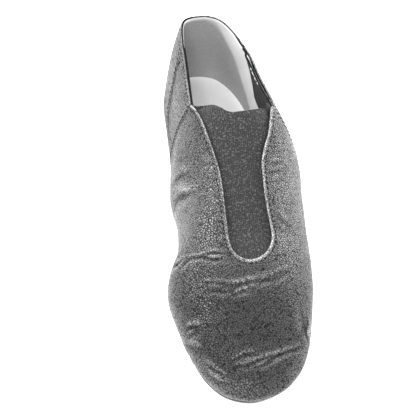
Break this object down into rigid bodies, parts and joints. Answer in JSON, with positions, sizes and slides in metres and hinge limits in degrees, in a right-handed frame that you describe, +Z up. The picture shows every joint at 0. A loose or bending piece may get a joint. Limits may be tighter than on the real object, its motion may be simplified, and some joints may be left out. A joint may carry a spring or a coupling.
{
  "type": "jazz shoe",
  "caption": "Left slip-on jazz shoe of soft black leather with an elastic gore at the throat, a thin full sole and a low heel block.",
  "frame": {"origin": "on the floor plane, under the middle of the shoe's bounding box", "axes": "+Y along the length from toe to heel, so the toe points to -Y; inner side of the foot to -X; +Z up"},
  "size_m": [0.0862, 0.2454, 0.0818],
  "materials": {
    "upper": "black full-grain glove leather, soft sheen",
    "heel_counter": "black full-grain glove leather, soft sheen",
    "front_gore": "woven elastic, matt",
    "insole": "off-white sock lining, matt",
    "outsole": "black rubber, matt",
    "heel": "black rubber, matt"
  },
  "bodies": {
    "root": {"upper": "upper", "heel_counter": "heel_counter", "front_gore": "front_gore", "insole": "insole", "outsole": "outsole", "heel": "heel"}
  },
  "joints": []
}
